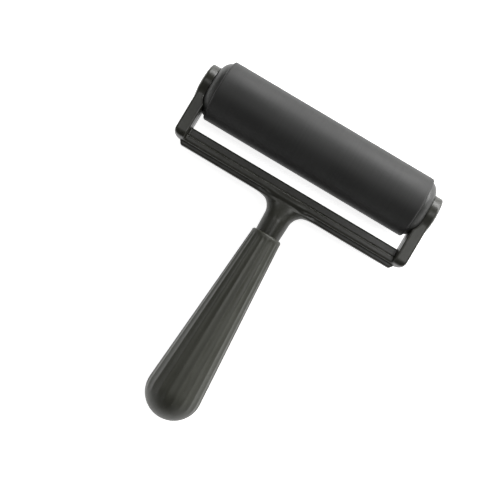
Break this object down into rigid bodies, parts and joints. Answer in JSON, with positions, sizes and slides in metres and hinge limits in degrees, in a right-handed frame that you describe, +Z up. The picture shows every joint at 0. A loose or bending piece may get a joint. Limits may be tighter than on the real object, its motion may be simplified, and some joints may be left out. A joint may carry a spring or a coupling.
{
  "type": "rubber brayer",
  "caption": "Hand roller for spreading ink: a rubber roller on a steel axle between the arms of a moulded yoke, with a fluted, tapered handle.",
  "frame": {"origin": "under the middle of the brayer, on the surface that the roller stands on", "axes": "+X along the axle, +Y from the handle to the roller, +Z up"},
  "size_m": [0.1168, 0.149, 0.0285],
  "materials": {
    "yoke_plastic": "satin black with a fine moulded grain",
    "grip_plastic": "satin black with a fine moulded grain, worn a little shiny on the flutes",
    "roller_rubber": "ground satin black rubber",
    "hub_plastic": "satin black",
    "core_aluminium": "turned",
    "bush_bronze": "sintered, oiled",
    "axle_steel": "drawn bright steel",
    "washer_plastic": "black acetal",
    "screw_black": "black oxide"
  },
  "bodies": {
    "yoke": {"yoke": "yoke_plastic", "handle_grip": "grip_plastic", "axle": "axle_steel", "thrust_washer_left": "washer_plastic", "thrust_washer_right": "washer_plastic", "screw_washer_left": "axle_steel", "screw_washer_right": "axle_steel", "axle_screw_left": "screw_black", "axle_screw_right": "screw_black"},
    "roller": {"roller_sleeve": "roller_rubber", "core_tube": "core_aluminium", "hub_left": "hub_plastic", "hub_right": "hub_plastic", "bush_left": "bush_bronze", "bush_right": "bush_bronze"}
  },
  "joints": [
    {"name": "roller_spin", "type": "hinge", "parent": "yoke", "child": "roller", "pos_m": [0, 0.06025, 0.01425], "axis": [1, 0, 0], "continuous": true}
  ]
}
